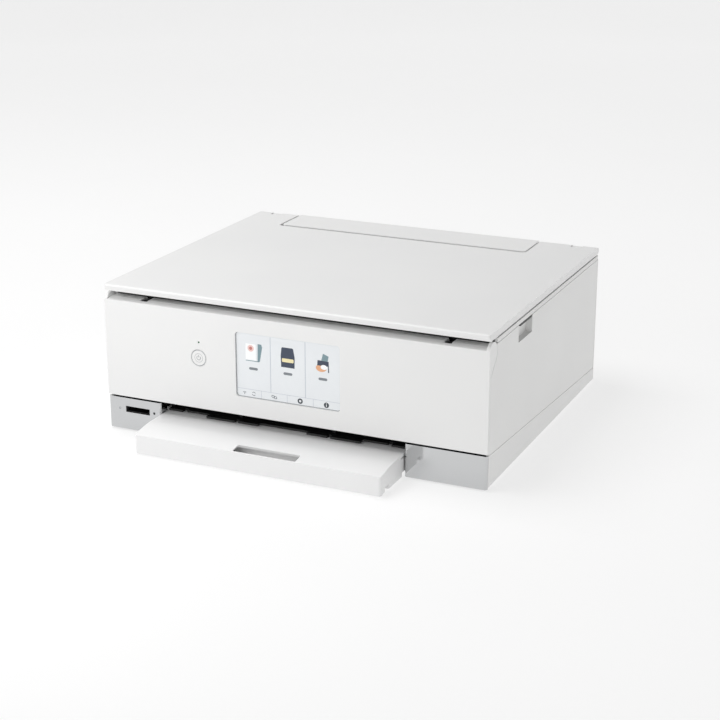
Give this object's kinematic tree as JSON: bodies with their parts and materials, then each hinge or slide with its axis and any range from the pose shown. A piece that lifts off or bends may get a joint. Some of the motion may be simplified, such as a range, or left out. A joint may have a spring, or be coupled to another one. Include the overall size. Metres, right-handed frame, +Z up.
{
  "type": "inkjet printer",
  "caption": "Low box-shaped inkjet printer with a flatbed scanner lid, a full-width tilting touch-screen panel, a card slot and a paper cassette drawn out in front.",
  "frame": {"origin": "under the middle of the overall box, on the surface the feet stand on, with the cassette drawn out as at rest", "axes": "+X to the right of a person facing the front, -Y out of the front, +Z up"},
  "size_m": [0.372, 0.372, 0.139],
  "materials": {
    "white_case": "fine moulded texture",
    "white_gloss": "polished",
    "black_plastic": "moulded",
    "grey_plastic": "moulded",
    "dark_grey_plastic": "moulded",
    "rubber": "matte",
    "steel": "drawn",
    "sheet_steel": "zinc plated",
    "scanner_glass": "clear",
    "screen_glass": "glossy",
    "lamp": "clear tinted",
    "board": "solder mask",
    "pad_white": "foam backed film",
    "nylon": "moulded",
    "ink_case": "moulded",
    "motor_can": "drawn can"
  },
  "bodies": {
    "case": {"rubber_feet": "rubber", "bottom_case": "white_case", "right_side_cover": "white_case", "left_side_cover": "white_case", "rear_cover": "white_case", "left_front_block": "white_gloss", "right_front_block": "white_gloss", "card_reader": "black_plastic", "access_lamp": "lamp", "front_inner_frame": "black_plastic", "rear_tray_housing": "dark_grey_plastic", "main_frame": "black_plastic", "hinge_pins": "steel", "drive_motors": "motor_can", "carriage_rail": "sheet_steel", "platen": "black_plastic", "carriage_belt": "rubber", "purge_unit": "dark_grey_plastic", "power_supply": "black_plastic", "power_inlet": "black_plastic", "usb_port": "sheet_steel", "main_board": "board", "screws": "steel"},
    "transport_cover": {"rear_transport_cover": "dark_grey_plastic"},
    "cassette": {"cassette_base": "white_case"},
    "cassette_nose": {"cassette_front": "white_case", "cassette_cover": "white_case"},
    "guide_left": {"cassette_guide_left": "grey_plastic"},
    "guide_right": {"cassette_guide_right": "grey_plastic"},
    "guide_end": {"cassette_end_guide": "grey_plastic"},
    "panel": {"operation_panel": "white_case", "panel_rear_housing": "dark_grey_plastic", "touch_screen": "screen_glass", "display_module": "grey_plastic", "panel_board": "board"},
    "power_key": {"power_button": "white_case"},
    "scanner": {"scanner_base": "dark_grey_plastic", "scanner_top_frame": "white_case", "platen_glass": "scanner_glass", "scan_rail": "steel"},
    "scan_bar": {"scan_carriage": "black_plastic"},
    "lid_legs": {"lid_hinge_legs": "white_case"},
    "lid": {"document_cover": "white_case", "pressure_pad": "pad_white"},
    "rear_cover_flap": {"rear_tray_cover": "white_case"},
    "support": {"paper_support": "grey_plastic"},
    "rear_guide_l": {"rear_guide_left": "grey_plastic"},
    "rear_guide_r": {"rear_guide_right": "grey_plastic"},
    "feed": {"feed_roller": "steel", "feed_gear": "nylon"},
    "pinion": {"motor_pinion": "nylon"},
    "eject": {"eject_roller": "rubber"},
    "stars": {"star_wheels": "steel"},
    "carriage": {"print_carriage": "black_plastic", "print_head": "dark_grey_plastic", "ink_tanks": "ink_case"},
    "drive_wheel": {"drive_pulley": "nylon"},
    "idler_wheel": {"idler_pulley": "nylon"},
    "pickup": {"pickup_arm": "dark_grey_plastic"},
    "pickup_wheel": {"pickup_roller": "rubber"}
  },
  "joints": [
    {"name": "transport_cover_pull", "type": "slide", "parent": "case", "child": "transport_cover", "axis": [0, 1, 0], "range_m": [0, 0.06]},
    {"name": "cassette_pull", "type": "slide", "parent": "case", "child": "cassette", "axis": [0, -1, 0], "range_m": [0, 0.26]},
    {"name": "cassette_nose_slide", "type": "slide", "parent": "cassette", "child": "cassette_nose", "axis": [0, 1, 0], "range_m": [0, 0.048]},
    {"name": "guide_left_slide", "type": "slide", "parent": "cassette", "child": "guide_left", "axis": [1, 0, 0], "range_m": [0, 0.04]},
    {"name": "guide_right_slide", "type": "slide", "parent": "cassette", "child": "guide_right", "axis": [1, 0, 0], "range_m": [-0.04, 0]},
    {"name": "guide_end_slide", "type": "slide", "parent": "cassette", "child": "guide_end", "axis": [0, -1, 0], "range_m": [0, 0.08]},
    {"name": "panel_tilt", "type": "hinge", "parent": "case", "child": "panel", "pos_m": [0, -0.1295, 0.1205], "axis": [-1, 0, 0], "range_deg": [0, 45]},
    {"name": "power_press", "type": "slide", "parent": "panel", "child": "power_key", "axis": [0, 1, 0], "range_m": [0, 0.0008], "stiffness_N_per_m": 900, "springref_m": -0.0008},
    {"name": "scanner_lift", "type": "hinge", "parent": "case", "child": "scanner", "pos_m": [0, 0.176, 0.118], "axis": [-1, 0, 0], "range_deg": [0, 38]},
    {"name": "scan_bar_travel", "type": "slide", "parent": "scanner", "child": "scan_bar", "axis": [1, 0, 0], "range_m": [0, 0.287]},
    {"name": "lid_leg_lift", "type": "slide", "parent": "scanner", "child": "lid_legs", "axis": [0, 0, 1], "range_m": [0, 0.012]},
    {"name": "lid_open", "type": "hinge", "parent": "lid_legs", "child": "lid", "pos_m": [0, 0.16885, 0.13585], "axis": [-1, 0, 0], "range_deg": [0, 78]},
    {"name": "rear_cover_open", "type": "hinge", "parent": "case", "child": "rear_cover_flap", "pos_m": [-0.01, 0.1745, 0.131], "axis": [-1, 0, 0], "range_deg": [0, 126]},
    {"name": "paper_support_slide", "type": "slide", "parent": "rear_cover_flap", "child": "support", "axis": [0, -1, 0], "range_m": [0, 0.034]},
    {"name": "rear_guide_left_slide", "type": "slide", "parent": "case", "child": "rear_guide_l", "axis": [1, 0, 0], "range_m": [0, 0.055]},
    {"name": "rear_guide_right_slide", "type": "slide", "parent": "case", "child": "rear_guide_r", "axis": [1, 0, 0], "range_m": [-0.055, 0]},
    {"name": "carriage_travel", "type": "slide", "parent": "case", "child": "carriage", "axis": [-1, 0, 0], "range_m": [0, 0.2365]},
    {"name": "drive_pulley_turn", "type": "hinge", "parent": "case", "child": "drive_wheel", "pos_m": [-0.158, -0.019, 0.07], "axis": [0, 1, 0], "range_deg": [-2300, 40]},
    {"name": "idler_pulley_turn", "type": "hinge", "parent": "case", "child": "idler_wheel", "pos_m": [0.158, -0.019, 0.07], "axis": [0, 1, 0], "range_deg": [-2300, 40]},
    {"name": "feed_turn", "type": "hinge", "parent": "case", "child": "feed", "pos_m": [0, -0.062, 0.039], "axis": [1, 0, 0], "continuous": true},
    {"name": "pinion_turn", "type": "hinge", "parent": "case", "child": "pinion", "pos_m": [-0.176, -0.062, 0.0587], "axis": [1, 0, 0], "continuous": true},
    {"name": "eject_turn", "type": "hinge", "parent": "case", "child": "eject", "pos_m": [0, -0.096, 0.0395], "axis": [1, 0, 0], "continuous": true},
    {"name": "star_turn", "type": "hinge", "parent": "case", "child": "stars", "pos_m": [0, -0.103, 0.0453], "axis": [1, 0, 0], "continuous": true},
    {"name": "pickup_swing", "type": "hinge", "parent": "case", "child": "pickup", "pos_m": [-0.01, 0.062, 0.04], "axis": [-1, 0, 0], "range_deg": [0, 16]},
    {"name": "pickup_turn", "type": "hinge", "parent": "pickup", "child": "pickup_wheel", "pos_m": [-0.01, 0.092, 0.034], "axis": [1, 0, 0], "continuous": true}
  ],
  "couplings": [
    {"joint": "guide_right_slide", "follows": "guide_left_slide", "ratio": -1},
    {"joint": "rear_guide_right_slide", "follows": "rear_guide_left_slide", "ratio": -1},
    {"joint": "paper_support_slide", "follows": "rear_cover_open", "m_per_rad": 0.015451},
    {"joint": "drive_pulley_turn", "follows": "carriage_travel", "rad_per_m": -166.67},
    {"joint": "idler_pulley_turn", "follows": "carriage_travel", "rad_per_m": -166.67},
    {"joint": "pinion_turn", "follows": "feed_turn", "ratio": -3},
    {"joint": "eject_turn", "follows": "feed_turn", "ratio": 1.25},
    {"joint": "star_turn", "follows": "feed_turn", "ratio": -1.1111}
  ]
}
